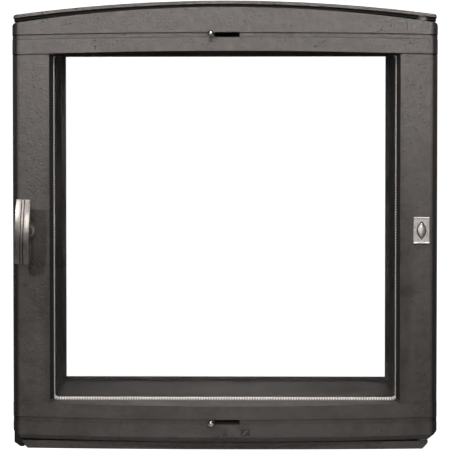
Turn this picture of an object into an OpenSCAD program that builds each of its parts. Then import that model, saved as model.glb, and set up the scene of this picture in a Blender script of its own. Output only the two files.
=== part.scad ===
// Fireplace glass door: a cast iron frame built into a masonry opening and a bowed cast
// iron leaf that swings on two pins, with its glass, rope seals, latch and two air slides.
// X runs to the right, Y into the masonry and Z up. The origin lies on the flat back of the
// frame's flange, in the middle of its lower run.

/* [Window] */
// Width of the window at the face of the leaf
window_w = 402; // [360:1:440]
// Height of the window at the face of the leaf
window_h = 400.6; // [360:0.2:440]
// How far the bevel draws the window in on each side
bevel_in = 3; // [1:0.5:5]
// How far the bevel draws the window in at its top and bottom
bevel_rise = 1.2; // [0.5:0.1:3]
// Depth of the window's bevel behind the edge of the face
bevel_depth = 16; // [12:0.5:17]

/* [Leaf] */
// Width of each stile beside the window
stile_w = 44; // [42:0.5:52]
// Height of the proud bands over and under the window
band_h = 16.5; // [14:0.1:20]
// Height of the recessed strips that hold the air slots
strip_h = 5.8; // [5:0.2:7]
// Height of the top panel at its outer corners
top_panel_h = 13; // [12:0.1:20]
// Height of the bottom panel
bottom_panel_h = 19.9; // [17:0.1:24]
// Rise of the arched top edge above its corners
arch_rise = 15.2; // [10:0.1:20]
// How far the middle of the face bows forward of its outer edges
face_bow = 23; // [16:0.5:25]
// Depth of the leaf's outer edge, from its front to its back
edge_depth = 16; // [14:0.5:18]
// Radius of the upright outer edges
edge_r = 8; // [6:0.5:9]
// Radius of the upper corners
upper_corner_r = 5; // [3:0.5:8]
// Size of the cut lower corners
lower_corner_cut = 10; // [6:0.5:11]
// Height of the bevel along the lower edge of the face
low_bevel_h = 5.5; // [2:0.5:7]
// How far the bevel draws the lower edge of the face back
low_bevel_in = 5; // [2:0.5:7]
// How far the strips lie behind the bands
strip_set_back = 1.5; // [1:0.1:2]
// Width of the joints over the upper strip and over the stiles
joint_w = 1.3; // [0.8:0.1:2]
// Width of the fine joints beside the strips
fine_joint_w = 0.5; // [0.4:0.1:0.8]
// Depth of the joints behind the bands
joint_depth = 2.5; // [2.1:0.1:3]
// How far the stiles lie behind the bands
stile_set_back = 1; // [0.5:0.1:1.5]
// Thickness of the face behind the bands
face_t = 9; // [8:0.5:10]
// Thickness of the leaf's outer walls
wall_t = 7; // [5:0.5:7.5]
// Wall between the glass pocket and the rope groove
pocket_wall_t = 6.2; // [6:0.1:7]
// Wall outside the rope groove
groove_wall_t = 2.3; // [2:0.1:2.6]

/* [Frame] */
// Thickness of the cap over the leaf
cap_t = 6.3; // [5:0.1:8]
// Thickness of the cap's front lip
cap_lip_t = 3.6; // [2.5:0.1:4.5]
// How far the cap draws back under its lip
cap_step = 6; // [2:0.5:7]
// Gap between the leaf's top edge and the cap
cap_gap = 3.6; // [3.4:0.1:7]
// How far the cap stays short of the leaf's outer edges
cap_short = 1; // [0:0.5:3]
// Radius of the cap's upper edges at its ends
cap_end_r = 3.5; // [1:0.5:4]
// How far the ends of the cap and the sill stay behind the edges of the face
front_set_back = 3; // [1:0.5:4]
// How far the cap and the sill bow forward in their middle
frame_bow = 8; // [4:0.5:12]
// Thickness of the sill
sill_t = 9; // [7:0.5:12]
// Gap between the sill and the leaf's bottom edge
sill_gap = 2.4; // [2.2:0.1:6]
// How far the sill stays short of the leaf's outer edges
sill_short = 10; // [8:0.5:10]
// Size of the sill's cut lower corners
sill_corner_cut = 7; // [4:0.5:7.5]
// Thickness of the flange that lies on the masonry
flange_t = 5; // [4.5:0.1:5.5]
// How far the flange stays short of the leaf's outer edges
flange_short = 7; // [6.5:0.5:8]
// Depth of the collar behind the masonry's face
collar_depth = 48; // [40:1:80]
// Wall of the collar
collar_t = 6; // [5:0.5:8]
// Width of the lip round the back of the collar
back_lip_w = 4.8; // [3:0.2:8]
// Thickness of the lip round the back of the collar
back_lip_t = 4; // [3:0.5:6]
// Rise of the collar's sill from its front to its back
throat_rise = 12; // [6:0.5:16]
// Radius of the frame's fixing holes
fixing_hole_r = 3.25; // [2.5:0.05:3.5]
// Height between the fixing holes
fixing_pitch = 310; // [240:1:340]

/* [Glass and seals] */
// Thickness of the glass
glass_t = 4; // [3.5:0.1:5]
// How far the glass reaches under the window's lip
glass_lap = 6; // [5:0.5:7]
// Clearance between the glass and its pocket
glass_clear = 1.5; // [1:0.1:2]
// Thickness of the rope between the glass and the leaf
glass_rope_d = 5; // [4:0.5:6]
// How far the glass rope shows inside the window's sides
glass_rope_show = 1.2; // [1:0.1:3]
// How far the glass rope shows over the window's lower lip
glass_rope_rise = 3.8; // [1:0.1:4.4]
// How far the glass rope shows under the window's upper lip
glass_rope_hang = 0; // [0:0.1:3]
// Thickness of the rope between the leaf and the frame
door_rope_d = 9; // [8.2:0.1:9.4]
// Radius of the ropes' bends at the corners
rope_bend_r = 6; // [5:0.5:12]

/* [Hinge] */
// Distance from the leaf's outer edge to the hinge line
hinge_inset = 17; // [16.5:0.1:17.5]
// Depth of the hinge line in front of the masonry
hinge_out = 24; // [23.5:0.1:25]
// Radius of the hinge pins
hinge_pin_r = 3.5; // [3:0.1:4]
// Length of a hinge pin inside the leaf
hinge_pin_reach = 16; // [12:0.5:18]
// Radius of the bosses round the hinge pins
hinge_boss_r = 8; // [7.5:0.1:8.5]
// Thickness of the bearing washer
hinge_washer_t = 1.5; // [1:0.1:1.6]

/* [Latch] */
// Height of the latch above the leaf's bottom edge
latch_h = 240.6; // [200:0.2:260]
// Length of the lever
lever_len = 74; // [60:1:90]
// Width of the lever
lever_w = 16; // [14:0.5:20]
// Thickness of the lever
lever_t = 8; // [7:0.2:10]
// How far the lever's middle bows forward of its ends
lever_bow = 5; // [3:0.5:8]
// Distance from the leaf's edge plane to the front of the lever
lever_out = 36; // [30:0.5:45]
// Lean of the lever to the right at its top
lever_lean = 2; // [0:0.5:4]
// Radius of the spindle
spindle_r = 5; // [4.5:0.1:5.2]
// Width of the square under the tongue
tongue_square = 7; // [6.2:0.1:7]
// Reach of the latch tongue from the spindle
tongue_reach = 18; // [17:0.1:19]
// Width of the latch tongue
tongue_w = 8; // [7:0.5:8]
// Thickness of the latch tongue
tongue_t = 3; // [2.5:0.1:3.2]
// Turn of the tongue between its free and its locked place
tongue_turn = 60; // [55:1:65]

/* [Air slides] */
// Length of the air slots
slot_len = 35.5; // [33:0.5:40]
// Travel of the air slides
slide_travel = 28; // [20:0.5:29]
// Thickness of the slide plates
slide_t = 2; // [1.5:0.1:2.5]
// Height of the slide plates
slide_h = 17; // [15:0.5:17.5]
// Diameter of the ball knobs
knob_d = 7.3; // [6:0.1:9]
// Distance of a ball knob's middle in front of the bands
knob_out = 9; // [6:0.5:12]
// Radius of the knobs' stems
stem_r = 2; // [1.5:0.1:2.2]

/* [Blank cover] */
// Width of the cover over the unused latch hole
cover_w = 18.7; // [17:0.1:20]
// Height of the cover
cover_h = 30.5; // [26:0.5:40]
// Thickness of the cover's plate
cover_t = 2; // [1.5:0.1:3]

/* [Hidden] */
$fn = 64;

// Segments of the wide arcs and of small parts, steps along half the arch and round a corner
arc_fn = 720;
arch_steps = 14;
corner_steps = 6;
corner_lead = 4;
small_fn = 32;
// Clearances: between moving faces, in running fits, at pressed seats, past a cut face
face_clear = 0.3;
running_clear = 0.05;
cut = 1;

iron = [0.33, 0.32, 0.31];
steel = [0.72, 0.70, 0.68];
rope_white = [0.88, 0.87, 0.84];
glass_tint = [0.85, 0.90, 0.88, 0.35];

// Heights, with the origin in the middle of the flange's lower run
origin_up = 25;
underside_z = -origin_up;
leaf_z0 = underside_z + sill_t + sill_gap;
low_strip_z = leaf_z0 + bottom_panel_h;
low_band_z = low_strip_z + strip_h;
window_z0 = low_band_z + band_h;
window_z1 = window_z0 + window_h;
high_strip_z = window_z1 + band_h;
top_panel_z = high_strip_z + strip_h;
leaf_corner_z = top_panel_z + top_panel_h;
leaf_top_z = leaf_corner_z + arch_rise;
latch_z = leaf_z0 + latch_h;

// Half widths
window_x = window_w / 2;
leaf_x = window_x + stile_w;
lip_x = window_x - bevel_in;
lip_z0 = window_z0 + bevel_rise;
lip_z1 = window_z1 - bevel_rise;
glass_x = lip_x + glass_lap;
pocket_x = glass_x + glass_clear;
groove_x0 = pocket_x + pocket_wall_t;
groove_x1 = groove_x0 + door_rope_d;
rib_x = groove_x1 + groove_wall_t;
pocket_out = glass_lap + glass_clear;
groove_out0 = pocket_out + pocket_wall_t;
groove_out1 = groove_out0 + door_rope_d;
rib_out = groove_out1 + groove_wall_t;
flange_x = leaf_x - flange_short;
cap_x = leaf_x - cap_short;
sill_x = leaf_x - sill_short;
hinge_x = leaf_x - hinge_inset;
latch_x = -hinge_x;

// Depths: the masonry's face is at y = 0 and the leaf lies in front of it
rope_back_y = -(flange_t + face_clear);
groove_floor_y = rope_back_y - door_rope_d;
rib_stand = 2.3;
rib_back_y = groove_floor_y + rib_stand;
edge_front_y = -36;
edge_back_y = edge_front_y + edge_depth;
face_front_y = edge_front_y - face_bow;
face_R = (leaf_x * leaf_x + face_bow * face_bow) / (2 * face_bow);
arch_R = (leaf_x * leaf_x + arch_rise * arch_rise) / (2 * arch_rise);
arch_centre_z = leaf_top_z - arch_R;
face_centre_y = face_front_y + face_R;
frame_front_y = edge_front_y + front_set_back - frame_bow;
frame_R = (cap_x * cap_x + frame_bow * frame_bow) / (2 * frame_bow);
frame_centre_y = frame_front_y + frame_R;
hinge_y = -hinge_out;
lip_back_y = face_y(window_x) + bevel_depth;
glass_front_y = lip_back_y + glass_rope_d;
glass_back_y = glass_front_y + glass_t;

// Height and depth of the face and the arch at a distance from the middle
function face_y(x) = face_centre_y - sqrt(face_R * face_R - x * x);
function arch_z(x, inset = 0) = arch_centre_z + sqrt(pow(arch_R - inset, 2) - x * x);
// Points along the arch's right half, from beside the middle outwards
function arch_points(inset, half_w) = [for (i = [1 : arch_steps])
    let (x = half_w * (2 * i - 1) / (2 * arch_steps - 1)) [x, arch_z(x, inset)]];
// Points along a corner, after its start
function corner_points(centre, r, from) = [for (i = [1 : corner_steps])
    centre + r * [cos(from * (1 - i / corner_steps)), sin(from * (1 - i / corner_steps))]];
// A right half outline closed with its own mirror image
function mirrored(half) = concat(half, [for (i = [len(half) - 1 : -1 : 0]) [-half[i][0], half[i][1]]]);

// ---- shared shapes ----

// Outline seen from above: a bowed front that turns into straight sides with tangent corners.
// The first side of each corner is drawn on past the front, so that the two cross cleanly.
module plan_shape(front_R, centre_y, half_w, corner_r, back_y) {
    centre = [half_w - corner_r,
        centre_y - sqrt(pow(front_R - corner_r, 2) - pow(half_w - corner_r, 2))];
    from = atan2(centre[1] - centre_y, centre[0]);
    corner = corner_points(centre, corner_r, from);
    start = centre + corner_r * [cos(from), sin(from)];
    lead = start + corner_lead * (start - corner[0]);
    intersection() {
        translate([0, centre_y]) circle(r = front_R, $fn = arc_fn);
        polygon(mirrored(concat([[lead[0], centre_y - front_R - cut], lead], corner,
            [[half_w, back_y]])));
    }
}

// The leaf's outline seen from above, with its front drawn back by an inset
module leaf_plan(inset, half_w, corner_r, back_y) {
    plan_shape(face_R - inset, face_centre_y, half_w, corner_r, back_y);
}

// Outline seen from the front: an arched top with tangent corners and cut lower corners
module front_shape(inset, half_w, low_z, corner_r, corner_cut) {
    top_R = arch_R - inset;
    centre = [half_w - corner_r,
        arch_centre_z + sqrt(pow(top_R - corner_r, 2) - pow(half_w - corner_r, 2))];
    from = atan2(centre[1] - arch_centre_z, centre[0]);
    tangent_x = centre[0] + corner_r * cos(from);
    polygon(mirrored(concat(arch_points(inset, tangent_x), corner_points(centre, corner_r, from),
        [[half_w, low_z + corner_cut], [half_w - corner_cut, low_z]])));
}

// An arched outline with square corners
module arch_shape(inset, half_w, low_z) {
    polygon(mirrored(concat(arch_points(inset, half_w), [[half_w, low_z]])));
}

// A front outline given a depth, from back_y forwards
module front_prism(back_y, depth) {
    translate([0, back_y, 0]) rotate([90, 0, 0]) linear_extrude(depth) children();
}

// A block between two corners
module block(low, high) {
    translate(low) cube(high - low);
}

// A frame between two upright rectangles, given by half widths and heights
module rect_ring(in_x, in_z0, in_z1, out, y0, y1) {
    difference() {
        block([-in_x - out, y0, in_z0 - out], [in_x + out, y1, in_z1 + out]);
        block([-in_x, y0 - cut, in_z0], [in_x, y1 + cut, in_z1]);
    }
}

// A rope laid round an upright rectangle with bent corners
module rope_ring(half_w, z0, z1, y, d) {
    run_x = half_w - rope_bend_r;
    for (side = [-1, 1])
        translate([side * half_w, y, z0 + rope_bend_r])
            cylinder(d = d, h = z1 - z0 - 2 * rope_bend_r, $fn = small_fn);
    for (z = [z0, z1])
        translate([-run_x, y, z]) rotate([0, 90, 0])
            cylinder(d = d, h = 2 * run_x, $fn = small_fn);
    bends = [[run_x, z1 - rope_bend_r, 0], [-run_x, z1 - rope_bend_r, 90],
        [-run_x, z0 + rope_bend_r, 180], [run_x, z0 + rope_bend_r, 270]];
    for (bend = bends)
        translate([bend[0], y, bend[1]]) rotate([90, 0, 0]) rotate([0, 0, bend[2]])
            rotate_extrude(angle = 90) translate([rope_bend_r, 0])
                circle(d = d, $fn = small_fn);
}

// A round bar along Y, from front_y to back_y
module bar_y(x, z, front_y, back_y, r, fn = small_fn) {
    translate([x, back_y, z]) rotate([90, 0, 0]) cylinder(r = r, h = back_y - front_y, $fn = fn);
}

// A flat rectangle with round corners
module rounded_rect(w, h, r) {
    square([w - 2 * r, h], center = true);
    square([w, h - 2 * r], center = true);
    for (x = [-1, 1], y = [-1, 1])
        translate([x * (w / 2 - r), y * (h / 2 - r)]) circle(r = r, $fn = small_fn);
}

// ---- frame ----

// Collar and flange
collar_x = lip_x;
collar_drop = 3.3;
collar_lift = 9.3;
collar_z0 = lip_z0 + collar_drop;
collar_z1 = lip_z1 + collar_lift;
collar_rear_z0 = floor_z(collar_depth);
fixing_out = 1;
fixing_drop = 3;
fixing_x = hinge_x + fixing_out;
function floor_z(y) = collar_z0 + throat_rise * y / collar_depth;
fixing_mid_z = latch_z - fixing_drop;
cap_boss_gap = 1.7;
cap_boss_drop = cap_gap - cap_boss_gap;
cap_low_z = arch_z(hinge_x) + cap_gap - cap_boss_drop;

// A layer of the cap: an arched plate with a bowed front, from low_gap over the leaf upwards
module cap_layer(inset, low_gap) {
    intersection() {
        translate([0, 0, window_z1]) linear_extrude(leaf_top_z + cap_gap + cap_t - window_z1 + cut)
            plan_shape(frame_R - inset, frame_centre_y, cap_x, upper_corner_r, 0);
        front_prism(0, -face_front_y) difference() {
            front_shape(-cap_gap - cap_t, cap_x, window_z1, cap_end_r, cut);
            arch_shape(-low_gap, leaf_x, window_z0);
        }
    }
}

// The cap with its front lip
module cap_plate() {
    cap_layer(0, cap_gap + cap_t - cap_lip_t);
    cap_layer(cap_step, cap_gap);
}

// The sill: a bowed plate with cut lower corners
module sill_plate() {
    intersection() {
        translate([0, 0, underside_z]) linear_extrude(sill_t)
            plan_shape(frame_R, frame_centre_y, sill_x, upper_corner_r, 0);
        front_prism(0, -face_front_y)
            polygon(mirrored([[sill_x, underside_z + sill_t], [sill_x, underside_z + sill_corner_cut],
                [sill_x - sill_corner_cut, underside_z]]));
    }
}

rest_gap = 1.2;
rest_front_y = -24;
rest_back_y = -4;
rest_cut_w = 7;
rest_cut_h = 5;

// The lug at the sill's left end, under the cut corner of the leaf
module rest_lug() {
    reach = leaf_z0 + lower_corner_cut - rest_gap * sqrt(2);
    front_prism(rest_back_y, rest_back_y - rest_front_y)
        polygon([[-leaf_x, reach], [-leaf_x, underside_z + rest_cut_h],
            [-leaf_x + rest_cut_w, underside_z], [-sill_x + cut, underside_z],
            [-sill_x + cut, reach - sill_short - cut]]);
}

// The collar seen from its side: its floor climbs to the back, its roof is level
module collar_side(out, front_y, rear_y) {
    polygon([[front_y, floor_z(front_y) - out], [rear_y, floor_z(rear_y) - out],
        [rear_y, collar_z1 + out], [front_y, collar_z1 + out]]);
}

// A collar_side outline given a width, centred on the middle
module side_prism(half_w) {
    translate([-half_w, 0, 0]) rotate([90, 0, 90]) linear_extrude(2 * half_w) children();
}

module frame_casting() {
    color(iron) difference() {
        union() {
            cap_plate();
            sill_plate();
            rest_lug();
            front_prism(0, flange_t)
                arch_shape(-cap_gap - cap_t / 2, flange_x, underside_z + sill_t / 2);
            side_prism(collar_x + collar_t) collar_side(collar_t, -flange_t / 2, collar_depth);
            translate([hinge_x, hinge_y, cap_low_z])
                cylinder(r = hinge_boss_r, h = cap_boss_drop + cap_t / 2);
        }
        difference() {
            side_prism(collar_x) collar_side(0, -flange_t - cut, collar_depth + cut);
            rect_ring(collar_x - back_lip_w, collar_rear_z0 + back_lip_w / 2,
                collar_z1 - back_lip_w / 2, back_lip_w + cut,
                collar_depth - back_lip_t, collar_depth + 2 * cut);
        }
        for (side = [-1, 1], end = [-1, 1])
            bar_y(side * fixing_x, fixing_mid_z + end * fixing_pitch / 2,
                -flange_t - cut, cut, fixing_hole_r);
        translate([hinge_x, hinge_y, cap_low_z - cut])
            cylinder(r = hinge_pin_r, h = upper_pin_top_z - cap_low_z + cut);
        translate([hinge_x, hinge_y, lower_pin_z])
            cylinder(r = hinge_pin_r, h = sill_t + cut);
        for (z = keeper_screw_z)
            bar_y(keeper_x, z, -flange_t - cut, cut, keeper_screw_r);
    }
}

// ---- keeper ----

keeper_w = 10;
keeper_h = 26;
keeper_lip_t = 3.3;
keeper_lap = 7;
keeper_gap = 0.5;
keeper_screw_r = 2.5;
keeper_head_r = 4.2;
keeper_head_t = 2.6;
keeper_ramp = 1.6;
keeper_shift = 2;
keeper_drop = 2;
keeper_screw_drop = 1;
tongue_gap = 0.8;
tongue_front_y = rib_back_y + tongue_gap;
tongue_back_y = tongue_front_y + tongue_t;
keeper_x = latch_x - keeper_shift;
keeper_top_z = latch_z - tongue_reach - keeper_drop;
keeper_low_z = keeper_top_z - keeper_h;
keeper_lip_back_y = tongue_front_y - keeper_gap;
keeper_front_y = keeper_lip_back_y - keeper_lip_t;
keeper_lip_z = latch_z - tongue_reach + keeper_lap;
keeper_screw_z = [keeper_low_z + keeper_h / 4, keeper_low_z + 3 * keeper_h / 4 - keeper_screw_drop];

module keeper() {
    color(steel) difference() {
        translate([keeper_x - keeper_w / 2, 0, 0]) rotate([90, 0, 90]) linear_extrude(keeper_w)
            polygon([[-flange_t, keeper_low_z], [-flange_t, keeper_top_z],
                [keeper_lip_back_y, keeper_top_z], [keeper_lip_back_y, keeper_lip_z - keeper_ramp],
                [keeper_lip_back_y - keeper_ramp, keeper_lip_z], [keeper_front_y, keeper_lip_z],
                [keeper_front_y, keeper_low_z]]);
        for (z = keeper_screw_z) {
            bar_y(keeper_x, z, keeper_front_y - cut, 0, keeper_screw_r);
            bar_y(keeper_x, z, keeper_front_y - cut, keeper_front_y + keeper_head_t, keeper_head_r);
        }
    }
}

module keeper_screws() {
    color(steel) for (z = keeper_screw_z) difference() {
        union() {
            bar_y(keeper_x, z, keeper_front_y + keeper_head_t, 0, keeper_screw_r);
            bar_y(keeper_x, z, keeper_front_y, keeper_front_y + keeper_head_t,
                keeper_head_r - face_clear);
        }
        bar_y(keeper_x, z, keeper_front_y - cut, keeper_front_y + keeper_head_t / 2,
            keeper_screw_r - face_clear, 6);
    }
}

// ---- hinge ----

lower_pin_in = 0.5;
upper_pin_in = 1;
lower_pin_z = underside_z + lower_pin_in;
shoulder_r = 7;
upper_pin_low_z = arch_z(hinge_x) - hinge_pin_reach;
upper_pin_top_z = cap_low_z + cap_boss_drop + cap_t - upper_pin_in;
lower_pin_top_z = leaf_z0 + hinge_pin_reach;
washer_z = leaf_z0 - face_clear - hinge_washer_t;

module upper_hinge_pin() {
    color(steel) translate([hinge_x, hinge_y, upper_pin_low_z])
        cylinder(r = hinge_pin_r, h = upper_pin_top_z - upper_pin_low_z);
}

module lower_hinge_pin() {
    color(steel) translate([hinge_x, hinge_y, 0]) {
        translate([0, 0, lower_pin_z])
            cylinder(r = hinge_pin_r, h = lower_pin_top_z - lower_pin_z);
        translate([0, 0, underside_z + sill_t])
            cylinder(r = shoulder_r, h = washer_z - underside_z - sill_t);
    }
}

module hinge_washer() {
    color(steel) translate([hinge_x, hinge_y, washer_z]) difference() {
        cylinder(r = shoulder_r, h = hinge_washer_t);
        translate([0, 0, -cut])
            cylinder(r = hinge_pin_r + running_clear, h = hinge_washer_t + 2 * cut);
    }
}

// ---- leaf ----

// Layers of the face from the bottom up: low height, high height, set-back
face_layers = [[leaf_z0, low_strip_z, 0],
    [low_strip_z, low_band_z - fine_joint_w, strip_set_back],
    [low_band_z - fine_joint_w, low_band_z, joint_depth],
    [low_band_z, window_z0, 0],
    [window_z0, window_z1 - joint_w, stile_set_back],
    [window_z1 - joint_w, window_z1, joint_depth],
    [window_z1, high_strip_z, 0],
    [high_strip_z, high_strip_z + fine_joint_w, joint_depth],
    [high_strip_z + fine_joint_w, top_panel_z - joint_w, strip_set_back],
    [top_panel_z - joint_w, top_panel_z, joint_depth],
    [top_panel_z, leaf_top_z + cut, 0]];
// Height of the cone that cuts the lower bevel; over the bevel it lies outside the face
cone_h = leaf_top_z + cut - leaf_z0;
hollow_corner_r = 3;
spindle_boss_r = 9;
spindle_boss_stand = 3;
spindle_boss_short = 2;
latch_boss_more = 2;
hinge_boss_over = 2;
boss_front_y = face_y(hinge_x) - spindle_boss_stand;
boss_back_y = rib_back_y - spindle_boss_short;
bush_r = 7;
clip_screw_r = 2;
clip_screw_reach = 10;
slide_pocket_x = 92;
slide_pocket_lap = 3;
slide_cover_t = 6;
slide_pocket_depth = 13;
slide_seat_y = face_front_y + strip_set_back + slide_cover_t;
slide_pocket_y = slide_seat_y + slide_pocket_depth;
slot_z = [low_strip_z + strip_h / 2, high_strip_z + strip_h / 2];
knob_x = -15;
slot_end_gap = 0.5;
slot_x0 = knob_x - stem_r - slot_end_gap;
guide_screw_x = [-36, 50];
guide_screw_r = 2;
guide_screw_grip = 3;
air_way_x = 40;
air_way_lap = 2;
air_way_z = lip_z1 + pocket_out;

// The leaf's face and outer walls as one solid block
module leaf_block() {
    intersection() {
        for (layer = face_layers)
            translate([0, 0, layer[0]]) linear_extrude(layer[1] - layer[0])
                leaf_plan(layer[2], leaf_x, edge_r, edge_back_y);
        front_prism(edge_back_y + cut, edge_back_y - face_front_y + 2 * cut)
            front_shape(0, leaf_x, leaf_z0, upper_corner_r, lower_corner_cut);
        translate([0, face_centre_y, leaf_z0])
            cylinder(r1 = face_R - low_bevel_in, r2 = face_R + low_bevel_in * (cone_h / low_bevel_h - 1),
                h = cone_h, $fn = arc_fn);
    }
}

// The hollow behind the face
module leaf_hollow() {
    intersection() {
        translate([0, 0, leaf_z0]) linear_extrude(leaf_top_z - leaf_z0)
            leaf_plan(face_t, leaf_x - wall_t, hollow_corner_r, edge_back_y + cut);
        front_prism(edge_back_y + 2 * cut, edge_back_y - face_front_y + 2 * cut)
            front_shape(wall_t, leaf_x - wall_t, leaf_z0 + wall_t, hollow_corner_r,
                hollow_corner_r);
    }
}

// The rib round the window that carries the glass pocket and the rope groove
module window_rib() {
    intersection() {
        translate([0, 0, leaf_z0]) linear_extrude(leaf_top_z - leaf_z0)
            leaf_plan(face_t - cut, leaf_x, edge_r, rib_back_y);
        block([-lip_x - rib_out, face_front_y, lip_z0 - rib_out],
            [lip_x + rib_out, 0, lip_z1 + rib_out]);
    }
}

// The bevelled window. Its bevel starts between the face of the bands and that of the stiles.
module window_cut() {
    front_y = face_y(window_x) + stile_set_back / 2;
    lead = (front_y - face_front_y + cut) / (lip_back_y - front_y);
    wide = window_x + bevel_in * lead;
    tall = bevel_rise * lead;
    intersection() {
        translate([0, 0, leaf_z0]) linear_extrude(leaf_top_z - leaf_z0)
            polygon(mirrored([[wide, face_front_y - cut], [lip_x, lip_back_y], [lip_x, 0]]));
        side_prism(leaf_x) polygon([[face_front_y - cut, window_z0 - tall],
            [lip_back_y, lip_z0], [0, lip_z0], [0, lip_z1], [lip_back_y, lip_z1],
            [face_front_y - cut, window_z1 + tall]]);
    }
}

// An air slot with its flat seat for the slide plate
module air_slot(z) {
    block([slot_x0, face_front_y - cut, z - strip_h / 2 + face_clear],
        [slot_x0 + slot_len, slide_seat_y + cut, z + strip_h / 2 - face_clear]);
    block([-slide_pocket_x, slide_seat_y, z - slide_h / 2 - slide_pocket_lap],
        [slide_pocket_x, slide_pocket_y, z + slide_h / 2 + slide_pocket_lap]);
    for (x = guide_screw_x)
        bar_y(x, z, slide_seat_y - guide_screw_grip, slide_seat_y + cut, guide_screw_r);
}

module door_casting() {
    color(iron) difference() {
        union() {
            difference() {
                leaf_block();
                leaf_hollow();
            }
            window_rib();
            intersection() {
                union() {
                    leaf_block();
                    window_rib();
                }
                for (z = [[leaf_z0, lower_pin_top_z + hinge_boss_over],
                    [upper_pin_low_z - hinge_boss_over, leaf_top_z]])
                    translate([hinge_x, hinge_y, z[0]])
                        cylinder(r = hinge_boss_r, h = z[1] - z[0]);
            }
            for (side = [-1, 1])
                bar_y(side * hinge_x, latch_z, face_y(hinge_x) + face_t / 2, boss_back_y,
                    spindle_boss_r);
            bar_y(latch_x, latch_z, boss_front_y, boss_back_y, spindle_boss_r + latch_boss_more);
        }
        window_cut();
        block([-pocket_x, lip_back_y, lip_z0 - pocket_out], [pocket_x, 0, lip_z1 + pocket_out]);
        rect_ring(groove_x0, lip_z0 - groove_out0, lip_z1 + groove_out0, door_rope_d,
            groove_floor_y, 0);
        for (side = [-1, 1]) {
            bar_y(side * hinge_x, latch_z, boss_front_y - cut, 0, bush_r);
            bar_y(side * hinge_x, latch_z, boss_back_y, 0, cover_washer_r + face_clear);
        }
        translate([hinge_x, hinge_y, leaf_z0 - cut])
            cylinder(r = hinge_pin_r + running_clear, h = hinge_pin_reach + 2 * cut);
        translate([hinge_x, hinge_y, upper_pin_low_z - cut])
            cylinder(r = hinge_pin_r + running_clear, h = hinge_pin_reach + 4 * cut);
        for (z = slot_z)
            air_slot(z);
        block([-air_way_x, slide_pocket_y - cut, air_way_z - cut],
            [air_way_x, groove_floor_y - air_way_lap, lip_z1 + rib_out + cut]);
        for (clip = clip_places)
            clip_at(clip)
                translate([0, 0, clip_hole_out]) rotate([-90, 0, 0])
                    translate([0, 0, rib_back_y - clip_screw_reach])
                        cylinder(r = clip_screw_r, h = clip_screw_reach + cut, $fn = small_fn);
    }
}

// ---- glass and ropes ----

module glass_pane() {
    color(glass_tint) block([-glass_x, glass_front_y, lip_z0 - glass_lap],
        [glass_x, glass_back_y, lip_z1 + glass_lap]);
}

module glass_rope_seal() {
    shift_x = glass_rope_d / 2 - glass_rope_show;
    low_z = lip_z0 - glass_rope_d / 2 + glass_rope_rise;
    high_z = lip_z1 + glass_rope_d / 2 - glass_rope_hang;
    color(rope_white) rope_ring(lip_x + shift_x, low_z, high_z, lip_back_y + glass_rope_d / 2,
        glass_rope_d);
}

module door_rope_seal() {
    middle = groove_out0 + door_rope_d / 2;
    color(rope_white) rope_ring(lip_x + middle, lip_z0 - middle, lip_z1 + middle,
        groove_floor_y + door_rope_d / 2, door_rope_d);
}

// ---- glass clips ----

clip_w = 16;
clip_t = 2;
clip_toe = 6;
clip_head_r = 3;
clip_head_t = 2.2;
clip_pitch = 290;
clip_hole_in = 1;
clip_end_in = 0.5;
clip_hole_out = pocket_out + pocket_wall_t / 2 - clip_hole_in;
clip_end_out = groove_out0 - clip_end_in;
window_mid_z = (lip_z0 + lip_z1) / 2;
window_mid_x = 0;
// Each clip's place on the lip's inner edge and its turn about Y
clip_places = [[lip_x, window_mid_z - clip_pitch / 2, 90], [lip_x, window_mid_z + clip_pitch / 2, 90],
    [-lip_x, window_mid_z - clip_pitch / 2, -90], [-lip_x, window_mid_z + clip_pitch / 2, -90],
    [window_mid_x, lip_z0, 180], [window_mid_x, lip_z1, 0]];

// Moves a clip drawn outwards along +Z to its place
module clip_at(place) {
    translate([place[0], 0, place[1]]) rotate([0, place[2], 0]) children();
}

// A bent clip: its foot lies on the rib and its toe holds the glass
module glass_clip() {
    leg_out = pocket_out - face_clear;
    difference() {
        translate([-clip_w / 2, 0, 0]) rotate([90, 0, 90]) linear_extrude(clip_w)
            polygon([[glass_back_y, leg_out - clip_toe], [glass_back_y, leg_out],
                [rib_back_y, leg_out], [rib_back_y, clip_end_out],
                [rib_back_y + clip_t, clip_end_out], [rib_back_y + clip_t, leg_out - clip_t],
                [glass_back_y + clip_t, leg_out - clip_t], [glass_back_y + clip_t, leg_out - clip_toe]]);
        bar_y(0, clip_hole_out, glass_back_y, 0, clip_screw_r);
    }
}

module glass_clips() {
    color(steel) for (clip = clip_places) clip_at(clip) glass_clip();
}

module clip_screws() {
    color(steel) for (clip = clip_places) clip_at(clip) {
        bar_y(0, clip_hole_out, rib_back_y - clip_screw_reach, rib_back_y + clip_t, clip_screw_r);
        bar_y(0, clip_hole_out, rib_back_y + clip_t, rib_back_y + clip_t + clip_head_t, clip_head_r);
    }
}

// ---- blank cover ----

cover_shift = 3;
cover_x = hinge_x - cover_shift;
cover_ridge = 2;
cover_stud_r = 3;
cover_oval_r = 10.5;
cover_oval_w = 9;
cover_oval_t = 1.2;
cover_seat_R = face_R - stile_set_back;
cover_turn = asin(cover_x / cover_seat_R);
cover_seat_y = face_centre_y - cover_seat_R * cos(cover_turn);
cover_washer_t = 1.5;
cover_washer_r = 7.9;
cover_nut_r = 5.6;
cover_nut_t = 5;

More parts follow.
